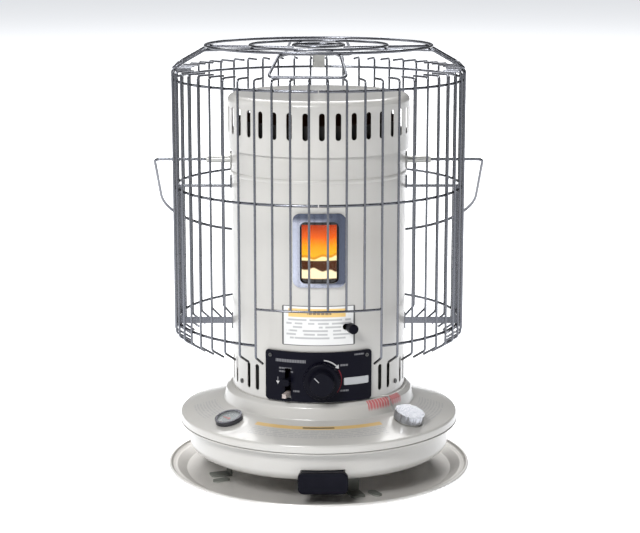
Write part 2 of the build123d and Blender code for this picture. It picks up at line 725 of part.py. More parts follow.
with BuildPart() as burner_knob:
    with BuildSketch(wall_plane(BURNER_KNOB_DEG, BURNER_KNOB_Z, DRUM_R)):
        Circle(3.4)
    extrude(amount=58)
    with BuildSketch(wall_plane(BURNER_KNOB_DEG, BURNER_KNOB_Z, 134)):
        Circle(7)
    extrude(amount=14)
    fillet(burner_knob.faces().sort_by(Axis.Y)[0].edges(), 2)
save(burner_knob.part, "burner_knob")

# ---------------------------------------------------------------- igniter, shut-off and tip-over weight
IGNITER_Z = 143.0
with BuildPart() as igniter_button:
    with BuildSketch(wall_plane(SLOT_DEG, IGNITER_Z, 112)):
        Rectangle(6, 6)
    extrude(amount=34)
    fillet(igniter_button.edges().filter_by(Axis.Z), 0.8)
save(igniter_button.part, "igniter_button")

with BuildPart() as igniter_arm:
    with BuildSketch(wall_plane(SLOT_DEG, IGNITER_Z, 80)):
        Circle(2)
    extrude(amount=32)
    with BuildSketch(level_plane(SLOT_DEG, 80, IGNITER_Z - 3.5)):
        Circle(3)
    extrude(amount=17.5)
    with BuildSketch(wall_plane(SLOT_DEG, 155, 56)):
        Circle(1.6)
    extrude(amount=24)
save(igniter_arm.part, "igniter_arm")

with BuildPart() as igniter_coil:
    for turn in range(4):
        with BuildSketch(wall_plane(SLOT_DEG, 155, 54.2 - 1.3 * turn)):
            Circle(2.6)
            Circle(1.7, mode=Mode.SUBTRACT)
        extrude(amount=1.3)
save(igniter_coil.part, "igniter_coil")

SHUTOFF_Z = 162.0
with BuildPart() as shutoff_lever:
    with BuildSketch(wall_plane(SLOT_DEG, SHUTOFF_Z, 114.5)):
        Rectangle(7, 4)
    extrude(amount=22.5)
    with BuildSketch(wall_plane(SLOT_DEG, SHUTOFF_Z, 137)):
        RectangleRounded(13, 9, 2)
    extrude(amount=7)
    with BuildSketch(wall_plane(SLOT_DEG, SHUTOFF_Z, 114.5)):
        with Locations((0, 3)):
            Rectangle(7, 14)
    extrude(amount=2)
save(shutoff_lever.part, "shutoff_lever")

WEIGHT_DEG = -45
WEIGHT_R = 97.0
WEIGHT_PIVOT_Z = 186.0
with BuildPart() as weight_bracket:
    with BuildSketch(wall_plane(WEIGHT_DEG, (DECK_Z + WEIGHT_PIVOT_Z + 5) / 2, WEIGHT_R + 13)):
        Rectangle(12, WEIGHT_PIVOT_Z + 5 - DECK_Z)
    extrude(amount=1.5)
    with BuildSketch(level_plane(WEIGHT_DEG, WEIGHT_R + 9, DECK_Z)):
        Rectangle(12, 10)
    extrude(amount=1.5)
    with BuildSketch(wall_plane(WEIGHT_DEG, WEIGHT_PIVOT_Z, WEIGHT_R - 4)):
        Circle(2)
    extrude(amount=17.5)
save(weight_bracket.part, "sensor_bracket")

with BuildPart() as sensor_weight:
    with BuildSketch(wall_plane(WEIGHT_DEG, WEIGHT_PIVOT_Z, WEIGHT_R - 1.5)):
        Circle(4.5)
        with Locations((0, -17)):
            Rectangle(4, 30)
        Circle(2.06, mode=Mode.SUBTRACT)
    extrude(amount=3)
    with BuildSketch(level_plane(WEIGHT_DEG, WEIGHT_R, 138)):
        Circle(10)
    extrude(amount=18)
save(sensor_weight.part, "sensor_weight")

# ---------------------------------------------------------------- wire guard
WIRE_PITCH_DEG = 360 / GUARD_WIRES
ARC_Z = 280.0
ARC_DEG = 3.5 * 360 / GUARD_WIRES
ARC_END_DEG = ARC_DEG - 0.48
RING_R = GUARD_R - GUARD_WIRE_R - RING_WIRE_R - 0.03


def guard_path(foot):
    """Points of one guard wire in its own radial plane: radius, height."""
    top = [(GUARD_R, HOOK_Z), (GUARD_R - 26, HOOK_Z)]
    if foot:
        return [(GUARD_R - 21, 199), (GUARD_R, 212)] + top
    return [(GUARD_R, ARC_Z + GUARD_WIRE_R + 0.03)] + top


def guard_wire(deg, foot):
    a = radians(deg)
    return [(r * sin(a), -r * cos(a), z) for r, z in guard_path(foot)]


FRONT_WIRES = [WIRE_PITCH_DEG * (k + 0.5) for k in range(-13, 13)]
REAR_WIRES = [WIRE_PITCH_DEG * (k + 0.5) for k in range(13, 39)]
with BuildPart() as wires_front:
    for wire_deg in FRONT_WIRES:
        with BuildLine() as wire_path:
            FilletPolyline(*guard_wire(wire_deg, abs(wire_deg) > 20), radius=5)
        with BuildSketch(Plane(origin=wire_path.line @ 0, z_dir=wire_path.line % 0)):
            Circle(GUARD_WIRE_R)
        sweep(path=wire_path.line)
save(wires_front.part, "guard_wires_front")

with BuildPart() as wires_rear:
    for wire_deg in REAR_WIRES:
        with BuildLine() as wire_path:
            FilletPolyline(*guard_wire(wire_deg, True), radius=5)
        with BuildSketch(Plane(origin=wire_path.line @ 0, z_dir=wire_path.line % 0)):
            Circle(GUARD_WIRE_R)
        sweep(path=wire_path.line)
save(wires_rear.part, "guard_wires_rear")

RING_ZS = (577.0, 424.0, 228.0)
with BuildPart() as rings_front:
    for ring_z in RING_ZS:
        for side in (-1, 1):
            start = ARC_DEG if ring_z < 300 else 0
            with BuildSketch(Plane(origin=(0, 0, 0), x_dir=(side, 0, 0), z_dir=(0, -side, 0))):
                with Locations((RING_R, side * ring_z * side)):
                    Circle(RING_WIRE_R)
            revolve(axis=Axis.Z, revolution_arc=side * -(89.8 - start))
    with BuildSketch(wall_plane(ARC_END_DEG - 90, ARC_Z)):
        with Locations((GUARD_R, 0)):
            Circle(GUARD_WIRE_R)
    revolve(axis=Axis.Z, revolution_arc=-2 * ARC_END_DEG)
save(rings_front.part, "guard_rings_front")

with BuildPart() as rings_rear:
    for ring_z in RING_ZS:
        with BuildSketch(Plane.XZ):
            with Locations((RING_R, ring_z)):
                Circle(RING_WIRE_R)
        revolve(axis=Axis.Z, revolution_arc=179.9)
save(rings_rear.part, "guard_rings_rear")

# ---------------------------------------------------------------- guard supports on the cabinet sides
POST_R = 198.0
with BuildPart() as lower_arms:
    for side_deg in (-90, 90):
        with BuildSketch(wall_plane(side_deg, 222, CABINET_R)):
            Rectangle(2.2, 9.4)
        extrude(amount=RING_R - RING_WIRE_R - CABINET_R - 0.1)
        with BuildSketch(wall_plane(side_deg, 222, CABINET_R)):
            Rectangle(16, 22)
        extrude(amount=1.5)
    for side_deg in (-90, 90):
        with BuildSketch(level_plane(side_deg, POST_R, 226.8)):
            Rectangle(3, 6)
        extrude(amount=419.9 - 226.8)
save(lower_arms.part, "guard_lower_arms")

with BuildPart() as upper_arms:
    for side_deg in (-90, 90):
        for offset_y in (-5.0, 5.0):
            with BuildSketch(wall_plane(side_deg, 421.5, CABINET_R + 1)):
                with Locations((offset_y, 0)):
                    Circle(1.5)
            extrude(amount=RING_R - RING_WIRE_R - CABINET_R - 1.1)
    for side_deg in (-90, 90):
        with BuildSketch(wall_plane(side_deg, 428, CABINET_R)):
            RectangleRounded(20, 18, 2)
        extrude(amount=2)
save(upper_arms.part, "guard_upper_arms")

# ---------------------------------------------------------------- hinged top grille
HINGE_Y = 204.0
HINGE_Z = 595.5
LOOP_R = 161.0
LOOP_HALF = 42.0
LOOP_FOOT_HALF = 52.5
LOOP_END_HALF = 12.0
LOOP_DEGS = (-4.2, 90, 180, 270)
GRILLE_RING_RADII = (161.5, 98.0, 36.0)
with BuildPart() as grille_rings:
    for grille_r in GRILLE_RING_RADII:
        with BuildSketch(Plane.XZ):
            with Locations((grille_r, GRILLE_RING_Z)):
                Circle(GRILLE_WIRE_R)
        revolve(axis=Axis.Z)
save(grille_rings.part, "grille_rings")

with BuildPart() as grille_loops:
    for loop_deg in LOOP_DEGS:
        loop_points = [
            (-LOOP_END_HALF, -36, GRILLE_LOOP_Z), (-LOOP_HALF, -LOOP_R, GRILLE_LOOP_Z),
            (-LOOP_FOOT_HALF, -HINGE_Y, HINGE_Z), (LOOP_FOOT_HALF, -HINGE_Y, HINGE_Z),
            (LOOP_HALF, -LOOP_R, GRILLE_LOOP_Z), (LOOP_END_HALF, -36, GRILLE_LOOP_Z),
        ]
        a = radians(loop_deg)
        turned = [(x * cos(a) - y * sin(a), x * sin(a) + y * cos(a), z) for x, y, z in loop_points]
        with BuildLine() as loop_path:
            FilletPolyline(*turned, radius=6)
        with BuildSketch(Plane(origin=loop_path.line @ 0, z_dir=loop_path.line % 0)):
            Circle(GRILLE_WIRE_R)
        sweep(path=loop_path.line)
save(grille_loops.part, "grille_loops")

with BuildPart() as grille_hub:
    with BuildSketch(Plane.XY.offset(GRILLE_RING_Z - GRILLE_WIRE_R + 0.1)):
        Circle(33.5)
        Circle(25, mode=Mode.SUBTRACT)
    extrude(amount=1.5)
save(grille_hub.part, "grille_hub")

HINGE_PLATE_W = 18.6
with BuildPart() as hinge_plate:
    with BuildSketch(Plane.YZ.offset(-HINGE_PLATE_W / 2)):
        with Locations((HINGE_Y, HINGE_Z)):
            Circle(GRILLE_WIRE_R + 1.6)
        with Locations((HINGE_Y - 3.2, HINGE_Z - 10)):
            Rectangle(1.5, 20)
        with Locations((HINGE_Y, HINGE_Z)):
            Circle(GRILLE_WIRE_R + 0.08, mode=Mode.SUBTRACT)
    extrude(amount=HINGE_PLATE_W)
save(hinge_plate.part, "grille_hinge_plate")

# ---------------------------------------------------------------- bail handle and its lugs
LUG_IN = CABINET_R
LUG_OUT = 162.0
BAIL_END = 142.0
with BuildPart() as bail_lugs:
    for side_deg in (-90, 90):
        with BuildSketch(wall_plane(side_deg, BAIL_Z, LUG_IN)):
            RectangleRounded(22, 24, 5)
        extrude(amount=2)
        with BuildSketch(wall_plane(side_deg, BAIL_Z, LUG_IN)):
            Circle(5)
        extrude(amount=LUG_OUT - LUG_IN)
        with BuildSketch(wall_plane(side_deg, BAIL_Z, BAIL_END - 4)):
            Circle(BAIL_WIRE_R + 0.08)
        extrude(amount=30, mode=Mode.SUBTRACT)
save(bail_lugs.part, "bail_lugs")

bail_rest = radians(BAIL_REST_DEG)
bail_plane = Plane(
    origin=(0, 0, BAIL_Z), x_dir=(1, 0, 0), z_dir=(0, -cos(bail_rest), -sin(bail_rest)),
)
with BuildPart() as bail:
    with BuildLine(bail_plane) as bail_path:
        bail_half = [(BAIL_END, 0), (BAIL_HALF, 0), (BAIL_HALF, 117)]
        FilletPolyline(*[(-x, -y) for x, y in bail_half], radius=8)
        RadiusArc((-BAIL_HALF, -117), (-136, -243), -129)
        ThreePointArc((-136, -243), (0, -258), (136, -243))
        RadiusArc((136, -243), (BAIL_HALF, -117), -129)
        FilletPolyline(*[(x, -y) for x, y in reversed(bail_half)], radius=8)
    with BuildSketch(Plane(origin=bail_path.wires()[0] @ 0, z_dir=bail_path.wires()[0] % 0)):
        Circle(BAIL_WIRE_R)
    sweep(path=bail_path.wires()[0], transition=Transition.ROUND)
save(bail.part, "bail_handle")
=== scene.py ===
"""Looks for the portable kerosene heater: finishes, printed marks, flame, small trim, light and camera."""
import bpy
from math import cos, radians, sin
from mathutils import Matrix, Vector


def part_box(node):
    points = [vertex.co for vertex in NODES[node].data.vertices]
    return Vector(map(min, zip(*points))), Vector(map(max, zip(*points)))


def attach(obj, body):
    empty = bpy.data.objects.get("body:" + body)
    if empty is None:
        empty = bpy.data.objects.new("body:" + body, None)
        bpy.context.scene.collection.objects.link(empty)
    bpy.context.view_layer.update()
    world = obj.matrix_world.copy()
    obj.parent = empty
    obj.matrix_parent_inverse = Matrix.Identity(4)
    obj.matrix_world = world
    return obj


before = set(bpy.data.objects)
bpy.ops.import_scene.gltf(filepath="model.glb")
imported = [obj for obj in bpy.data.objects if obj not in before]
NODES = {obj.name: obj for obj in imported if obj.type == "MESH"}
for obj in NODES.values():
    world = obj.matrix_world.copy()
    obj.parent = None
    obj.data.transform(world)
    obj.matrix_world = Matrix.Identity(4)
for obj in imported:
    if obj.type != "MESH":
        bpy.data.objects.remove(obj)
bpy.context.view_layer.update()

# ------------------------------------------------------------------ sizes taken from the frame, in metres
LABEL_FILM = 0.0005
CABINET_R = -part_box("cabinet_label")[0][1] - LABEL_FILM
KNOB_LOW, KNOB_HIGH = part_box("wick_knob")
KNOB_X = (KNOB_LOW[0] + KNOB_HIGH[0]) / 2
KNOB_Z = (KNOB_LOW[2] + KNOB_HIGH[2]) / 2


# ------------------------------------------------------------------ a small language for shader maths
class Value:
    """One shader socket. Arithmetic on it adds Math nodes."""

    def __init__(self, finish, socket):
        self.finish = finish
        self.socket = socket

    def maths(self, operation, *inputs):
        return self.finish.node("ShaderNodeMath", {"operation": operation}, dict(enumerate(inputs)))

    def __add__(self, other):
        return self.maths("ADD", self, other)

    def __sub__(self, other):
        return self.maths("SUBTRACT", self, other)

    def __rsub__(self, other):
        return self.maths("SUBTRACT", other, self)

    def __mul__(self, other):
        return self.maths("MULTIPLY", self, other)

    def __truediv__(self, other):
        return self.maths("DIVIDE", self, other)

    def __neg__(self):
        return self.maths("MULTIPLY", self, -1.0)

    def __abs__(self):
        return self.maths("ABSOLUTE", self)

    def __or__(self, other):
        return self.maths("MAXIMUM", self, other)

    __radd__ = __add__
    __rmul__ = __mul__

    def step(self, low, high):
        """0 below low, 1 above high, smooth between."""
        settings = {"interpolation_type": "SMOOTHSTEP"}
        inputs = {"Value": self, "From Min": low, "From Max": high}
        return self.finish.node("ShaderNodeMapRange", settings, inputs)

    def between(self, low, high, soft):
        """1 from low to high, with soft edges."""
        return self.step(low - soft, low + soft) * (1 - self.step(high - soft, high + soft))

    def root(self):
        return self.maths("SQRT", self)

    def angle(self, other):
        return self.maths("ARCTAN2", self, other)

    def repeat(self, pitch):
        return self.maths("PINGPONG", self, pitch / 2)


class Finish:
    """One material, with its coordinates and its Principled shader."""

    def __init__(self, name, color, roughness, metallic=0.0, coat=0.0):
        self.material = bpy.data.materials.new(name)
        self.material.use_nodes = True
        self.tree = self.material.node_tree
        self.shader = self.tree.nodes["Principled BSDF"]
        self.base = (*color, 1.0)
        self.set("Base Color", self.base)
        self.set("Roughness", roughness)
        self.set("Metallic", metallic)
        self.set("Coat Weight", coat)
        self.place = self.node("ShaderNodeTexCoord", {}, {}, "Object")
        self.x, self.y, self.z = (
            self.node("ShaderNodeSeparateXYZ", {}, {"Vector": self.place}, axis) for axis in "XYZ"
        )
        self.turn = self.x.angle(-self.y)
        self.radius = (self.x * self.x + self.y * self.y).root()

    def node(self, kind, settings, inputs, output=0):
        made = self.tree.nodes.new(kind)
        for key, value in settings.items():
            if key == "stops":
                ramp = made.color_ramp
                while len(ramp.elements) < len(value):
                    ramp.elements.new(0.5)
                for element, (position, color) in zip(ramp.elements, value):
                    element.position = position
                    element.color = color
            else:
                setattr(made, key, value)
        for key, value in inputs.items():
            if isinstance(value, Value):
                self.tree.links.new(value.socket, made.inputs[key])
            else:
                made.inputs[key].default_value = value
        return Value(self, made.outputs[output])

    def set(self, name, value):
        socket = self.shader.inputs[name]
        if isinstance(value, Value):
            self.tree.links.new(value.socket, socket)
        else:
            socket.default_value = value

    def noise(self, scale, detail=3.0, stretch=(1, 1, 1)):
        where = self.node("ShaderNodeMapping", {}, {"Vector": self.place, "Scale": stretch})
        return self.node("ShaderNodeTexNoise", {}, {"Vector": where, "Scale": scale, "Detail": detail}, "Fac")

    def tint(self, mask, color, under=None):
        """Lays a colour over the base colour, or over an earlier result, where mask is 1."""
        under = self.base if under is None else under
        settings = {"data_type": "RGBA", "clamp_factor": True}
        over = (*color, 1.0) if isinstance(color, tuple) else color
        return self.node("ShaderNodeMix", settings, {0: mask, 6: under, 7: over}, 2)

    def bump(self, height, strength, distance=0.001):
        inputs = {"Height": height, "Strength": strength, "Distance": distance}
        self.set("Normal", self.node("ShaderNodeBump", {}, inputs, "Normal"))


def paint(finish, *names):
    """Gives CAD nodes this finish."""
    for name in names:
        mesh = NODES[name].data
        mesh.materials.clear()
        mesh.materials.append(finish.material)


# ------------------------------------------------------------------ enamel
def enamel(name, color, dust=0.35):
    """Baked off-white enamel: faint orange peel, slow colour drift and a little handling dust."""
    finish = Finish(name, color, 0.3, coat=0.5)
    drift = finish.noise(9.0, 4.0)
    grain = finish.noise(420.0, 2.0)
    spots = finish.noise(900.0, 1.0).step(0.70, 0.76)
    warm = tuple(c * f for c, f in zip(color, (0.93, 0.915, 0.89)))
    shade = finish.tint(drift.step(0.35, 0.75) * 0.5, warm)
    shade = finish.tint(spots * dust, tuple(c * 0.8 for c in color), shade)
    finish.set("Base Color", shade)
    finish.set("Roughness", 0.26 + drift * 0.12)
    finish.bump(grain + finish.noise(60.0, 2.0) * 2, 0.05)
    finish.shader.inputs["Coat Roughness"].default_value = 0.12
    finish.shade = shade
    return finish


CREAM = (0.485, 0.475, 0.452)
AMBER = (0.66, 0.43, 0.13)
INK = (0.33, 0.33, 0.34)
ROW_SPREAD = 7.3


def bars(along, across, pitch, phase, ragged, finish):
    """Rows of plain bars of uneven length that stand for printed lines, as a mask."""
    row = (across - phase).repeat(pitch)
    rows = 1 - row.step(pitch * 0.2, pitch * 0.3)
    count = (across - phase) / pitch
    number = count.maths("ROUND", count)
    spot = finish.node("ShaderNodeCombineXYZ", {}, {"X": along * ragged, "Y": number * ROW_SPREAD})
    inputs = {"Vector": spot, "Scale": 1.0, "Detail": 1.0}
    gaps = finish.node("ShaderNodeTexNoise", {"noise_dimensions": "2D"}, inputs, "Fac")
    return rows * (1 - gaps.step(0.58, 0.62))


def tank_finish():
    finish = enamel("tank enamel", CREAM)
    turn, radius, z = finish.turn, finish.radius, finish.z
    top = z.step(0.088, 0.09)
    soft_r, soft_t = 0.0006, 0.004
    amber = radius.between(0.155, 0.163, soft_r) * turn.between(radians(-33.7), radians(33.7), soft_t)
    dark = radius.between(0.1572, 0.1608, soft_r) * turn.between(radians(-8), radians(8), soft_t)
    front = radius.between(0.166, 0.185, soft_r) * turn.between(radians(-33), radians(33), soft_t)
    left = radius.between(0.150, 0.184, soft_r) * turn.between(radians(-86), radians(-62), soft_t)
    right = radius.between(0.146, 0.186, soft_r) * turn.between(radians(60), radians(90), soft_t)
    lines = bars(turn, radius, 0.0042, 0.1663, 60.0, finish)
    shade = finish.tint(lines * (front | left | right) * top * 0.62, INK, finish.shade)
    shade = finish.tint(amber * top * 0.85, AMBER, shade)
    shade = finish.tint(dark * top * 0.9, (0.10, 0.08, 0.05), shade)
    word = radius.between(0.1300, 0.1375, 0.0006) * turn.between(radians(31), radians(60), soft_t)
    letters = 1 - (turn * 0.134).repeat(0.0052).step(0.0019, 0.0023)
    shade = finish.tint(word * letters * 0.8, (0.52, 0.06, 0.07), shade)
    # darker band along the lower edge of the flange's outer side
    flange_low_band = z.between(0.0765, 0.0793, 0.0004) * radius.step(0.1985, 0.2)
    shade = finish.tint(flange_low_band * 0.25, (0.35, 0.34, 0.32), shade)
    finish.set("Base Color", shade)
    return finish


paint(tank_finish(), "tank_lower", "tank_upper")
paint(enamel("cabinet enamel", CREAM), "cabinet")
paint(enamel("cap enamel", tuple(c * 1.06 for c in CREAM)), "cabinet_cap")


def label_finish():
    """A printed film: thin dark border, amber strip and plain bars in place of words."""
    finish = Finish("label film", (0.70, 0.70, 0.69), 0.35, coat=0.3)
    arc = finish.turn * CABINET_R
    z = finish.z
    edge = 0.051
    inside = arc.between(-edge + 0.001, edge - 0.001, 0.0003) * z.between(0.214, 0.269, 0.0003)
    shade = finish.tint(1 - inside, (0.07, 0.07, 0.07))
    lines = bars(arc * 12, z, 0.0052, 0.2500, 8.0, finish)
    body = arc.between(-0.046, 0.046, 0.0005) * z.between(0.2205, 0.2515, 0.0004)
    shade = finish.tint(lines * body * 0.75, INK, shade)
    amber = arc.between(-0.043, 0.0385, 0.0004) * z.between(0.254, 0.266, 0.0003)
    shade = finish.tint(amber * 0.95, (0.72, 0.47, 0.13), shade)
    word = arc.between(-0.016, 0.018, 0.0006) * z.between(0.2575, 0.2625, 0.0004)
    blocks = 1 - arc.repeat(0.0058).step(0.0022, 0.0026)
    shade = finish.tint(word * blocks * 0.85, (0.12, 0.08, 0.05), shade)
    finish.set("Base Color", shade)
    finish.set("Roughness", 0.3 + finish.noise(30.0) * 0.12)
    finish.bump(finish.noise(300.0, 2.0), 0.04)
    return finish


paint(label_finish(), "cabinet_label")


# ------------------------------------------------------------------ metals
GRIME = (0.16, 0.15, 0.14)


def metal(name, color, roughness, brushed=(1, 1, 1), grime=0.25, metallic=1.0):
    """Plated or painted metal with a faint film, a fine grain and some grime."""
    finish = Finish(name, color, roughness, metallic=metallic)
    film = finish.noise(35.0, 4.0)
    grain = finish.noise(260.0, 3.0, brushed)
    dirt = finish.noise(14.0, 5.0).step(0.52, 0.72) * grime
    shade = finish.tint(film.step(0.3, 0.7) * 0.35, tuple(c * 0.82 for c in color))
    finish.set("Base Color", finish.tint(dirt, GRIME, shade))
    finish.set("Roughness", roughness + grain * 0.12 + dirt * 0.3)
    finish.bump(grain, 0.06)
    return finish


wire = metal("plated wire", (0.155, 0.16, 0.178), 0.19, grime=0.15)
paint(wire, "guard_wires_front", "guard_wires_rear", "guard_rings_front", "guard_rings_rear")
paint(wire, "guard_upper_arms", "guard_lower_arms", "bail_handle")
paint(wire, "grille_rings", "grille_loops", "grille_hub")


# painted reflection: x and z ranges beyond which the trim is darkened to stand for a dark reflection
TRIM_REFLECTION_X = (-0.012, 0.024)
TRIM_REFLECTION_Z = (0.386, 0.396)
TRIM_FOOT_Z = (0.298, 0.303)


def trim_finish():
    """Blue-tinted chrome surround with a painted dark reflection along its top and right, placed by position.
    """
    finish = metal("bright trim", (0.40, 0.42, 0.50), 0.14, grime=0.1)
    # painted reflection: darker towards the right and the top, but not on the bottom strip
    dark_reflection = finish.x.step(*TRIM_REFLECTION_X) | finish.z.step(*TRIM_REFLECTION_Z)
    foot = 1 - finish.z.step(*TRIM_FOOT_Z)
    shade = finish.tint(dark_reflection * (1 - foot) * 0.85, (0.035, 0.045, 0.075))
    finish.set("Base Color", shade)
    return finish


paint(trim_finish(), "window_frame")
paint(metal("cap chrome", (0.44, 0.45, 0.48), 0.17, grime=0.1), "filler_cap")
paint(metal("gauge bezel", (0.10, 0.10, 0.115), 0.16, grime=0.1), "gauge_body")
zinc = metal("zinc plate", (0.48, 0.48, 0.46), 0.36, (1, 1, 8))
paint(zinc, "draft_tube", "wick_guide", "filler_neck", "cap_tether")
paint(zinc, "knob_shaft", "gear_bracket", "wick_carrier")
paint(zinc, "burner_seat", "igniter_arm", "sensor_bracket", "grille_hinge_plate", "bail_lugs")
paint(metal("leg paint", (0.20, 0.21, 0.19), 0.45, grime=0.4, metallic=0.3), "legs")
paint(metal("dark screws", (0.12, 0.12, 0.12), 0.4), "cabinet_screws", "panel_screws")
paint(metal("brass", (0.62, 0.45, 0.2), 0.3), "wick_pinion", "float_arm")
paint(metal("cast weight", (0.12, 0.12, 0.125), 0.6, grime=0.3, metallic=0.6), "sensor_weight")
paint(metal("coil wire", (0.4, 0.38, 0.36), 0.35), "igniter_coil")
paint(metal("blank plate", (0.42, 0.43, 0.44), 0.4, (8, 1, 1), metallic=0.6), "panel_plate")


def heat_tinted():
    """Burner steel, browned and blued by the flame towards its top."""
    finish = metal("heat-tinted steel", (0.36, 0.32, 0.29), 0.38, (1, 1, 6), grime=0.4)
    drift = finish.noise(22.0, 3.0) * 0.03
    stops = (
        (0.0, (0.36, 0.33, 0.30, 1)), (0.45, (0.34, 0.24, 0.14, 1)),
        (0.7, (0.16, 0.12, 0.16, 1)), (1.0, (0.07, 0.09, 0.14, 1)),
    )
    height = (finish.z + drift - 0.17) / 0.17
    finish.set("Base Color", finish.node("ShaderNodeValToRGB", {"stops": stops}, {"Fac": height}))
    return finish


paint(heat_tinted(), "burner_drum", "burner_outer_sleeve", "burner_inner_sleeve", "flame_spreader")


def tray_finish():
    """Satin taupe paint with drag marks, a painted shade ring where the floor meets the rim and a painted
    highlight on the rolled edge.
    """
    finish = Finish("tray paint", (0.66, 0.64, 0.61), 0.36, metallic=0.35)
    rub = finish.noise(12.0, 5.0)
    ring = finish.noise(40.0, 2.0, (0.4, 0.4, 1))
    # painted shade: a darker ring where the tray floor meets its rim
    crease_shade = finish.radius.between(0.2125, 0.2185, 0.0012)
    # painted highlight: a lighter ring on the rolled edge
    edge = finish.radius.step(0.2185, 0.2205)
    shade = finish.tint(rub.step(0.4, 0.7) * 0.4, (0.54, 0.52, 0.49))
    shade = finish.tint(crease_shade * 0.35, (0.36, 0.345, 0.32), shade)
    shade = finish.tint(edge * 0.5, (0.8, 0.79, 0.77), shade)
    finish.set("Base Color", shade)
    finish.set("Roughness", 0.3 + rub * 0.2)
    finish.bump(finish.noise(350.0, 2.0) + ring, 0.06)
    return finish


paint(tray_finish(), "drip_tray")


# ------------------------------------------------------------------ plastics and soft parts
def plastic(name, color, roughness, grain_scale=700.0, coat=0.0, shine=0.5):
    finish = Finish(name, color, roughness, coat=coat)
    finish.shader.inputs["Specular IOR Level"].default_value = shine
    wear = finish.noise(18.0, 4.0)
    finish.set("Base Color", finish.tint(wear.step(0.5, 0.8) * 0.5, tuple(c * 1.5 + 0.004 for c in color)))
    finish.set("Roughness", roughness + wear * 0.14)
    finish.bump(finish.noise(grain_scale, 2.0), 0.08)
    return finish


black = plastic("black moulding", (0.004, 0.004, 0.008), 0.3, shine=0.07)
paint(black, "wick_knob", "battery_drawer", "battery_case", "burner_knob", "shutoff_lever")
paint(plastic("pale tip", (0.42, 0.36, 0.34), 0.45), "igniter_button")
paint(plastic("black rubber", (0.02, 0.02, 0.02), 0.7), "filler_cap_seal")
paint(plastic("needle paint", (0.5, 0.03, 0.02), 0.4), "gauge_needle")


def panel_finish():
    """Black control panel with a white arrow arc, a red arc and plain bars in place of words."""
    finish = Finish("control panel", (0.004, 0.004, 0.009), 0.32)
    finish.shader.inputs["Specular IOR Level"].default_value = 0.06
    x, z = finish.x - KNOB_X, finish.z - KNOB_Z
    reach = (x * x + z * z).root()
    clock = x.angle(z)
    white = reach.between(0.0282, 0.0298, 0.0003) * clock.between(radians(6), radians(46), 0.01)
    head_wide = (clock - radians(46)) * 0.029
    spread = abs(reach - 0.029) + head_wide * 0.75
    white = white | (head_wide.between(0.0, 0.0055, 0.0002) * (1 - spread.step(0.0034, 0.0038)))
    red = reach.between(0.0272, 0.0286, 0.0003) * clock.between(radians(58), radians(130), 0.01)
    marks = None
    for low_x, high_x, low_z, high_z in PANEL_BARS:
        bar = finish.x.between(low_x, high_x, 0.0003) * finish.z.between(low_z, high_z, 0.0003)
        marks = bar if marks is None else marks | bar
    blocks = 0.55 + 0.45 * (1 - finish.x.repeat(0.0036).step(0.0011, 0.0015))
    tip = (finish.z - 0.156) * 0.55
    wing = (abs(finish.x + 0.0575) - tip).step(-0.0002, 0.0002)
    arrow = finish.z.between(0.156, 0.1605, 0.0002) * (1 - wing)
    front = 1 - finish.y.step(-0.1, -0.095)
    shade = finish.tint((white | arrow) * front * 0.85, (0.62, 0.62, 0.62))
    shade = finish.tint(red * front * 0.6, (0.22, 0.02, 0.03), shade)
    shade = finish.tint(marks * blocks * front * 0.4, (0.36, 0.36, 0.38), shade)
    finish.set("Base Color", shade)
    finish.set("Roughness", 0.28 + finish.noise(20.0) * 0.14)
    finish.bump(finish.noise(600.0, 2.0), 0.05)
    return finish


PANEL_BARS = (
    (0.030, 0.0415, 0.1838, 0.1866), (0.030, 0.0425, 0.1470, 0.1496), (0.0505, 0.064, 0.1980, 0.2004),
    (-0.036, -0.0266, 0.1462, 0.1488), (-0.0560, -0.0380, 0.1786, 0.1810), (-0.0560, -0.0360, 0.1738, 0.1762),
    (-0.0605, -0.0180, 0.1886, 0.1930), (-0.0582, -0.0568, 0.159, 0.1665),
)
paint(panel_finish(), "control_panel")


def shield_finish():
    finish = Finish("heat-proof black", (0.018, 0.016, 0.015), 0.75)
    scale = finish.noise(45.0, 5.0)
    finish.set("Base Color", finish.tint(scale.step(0.5, 0.75) * 0.6, (0.05, 0.035, 0.025)))
    finish.set("Roughness", 0.65 + scale * 0.2)
    finish.bump(scale + finish.noise(400.0), 0.15)
    return finish


paint(shield_finish(), "heat_shield")


def wick_finish():
    """Woven glass fibre, charred at its top edge."""
    finish = Finish("wick weave", (0.78, 0.75, 0.66), 0.9)
    weave = (finish.turn * 0.045).repeat(0.0016) + finish.z.repeat(0.0016)
    shade = finish.tint(weave.step(0.0007, 0.0011) * 0.5, (0.55, 0.52, 0.45))
    char = (finish.z + finish.noise(80.0) * 0.006).step(0.149, 0.157)
    finish.set("Base Color", finish.tint(char, (0.03, 0.025, 0.02), shade))
    finish.bump(weave * 900, 0.4)
    return finish


paint(wick_finish(), "wick")


def cork_finish():
    finish = Finish("cork", (0.45, 0.29, 0.16), 0.85)
    crumbs = finish.node("ShaderNodeTexVoronoi", {}, {"Vector": finish.place, "Scale": 420.0}, "Distance")
    finish.set("Base Color", finish.tint(crumbs.step(0.4, 0.7), (0.25, 0.14, 0.07)))
    finish.bump(crumbs, 0.3)
    return finish


paint(cork_finish(), "fuel_float")


def cell_finish():
    """Battery jacket: dark sleeve, a coppery band at one end and bright caps."""
    finish = Finish("battery jacket", (0.03, 0.03, 0.035), 0.3)
    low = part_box("battery_cells")[0][1]
    along = (finish.y - low).maths("MODULO", finish.y - low, 0.0506)
    shade = finish.tint(along.step(0.036, 0.0365), (0.55, 0.3, 0.1))
    ends = along.step(0.0488, 0.049) | (1 - along.step(0.0001, 0.0003))
    finish.set("Base Color", finish.tint(ends, (0.6, 0.6, 0.6), shade))
    finish.set("Metallic", ends)
    finish.bump(finish.noise(300.0), 0.03)
    return finish


paint(cell_finish(), "battery_cells")


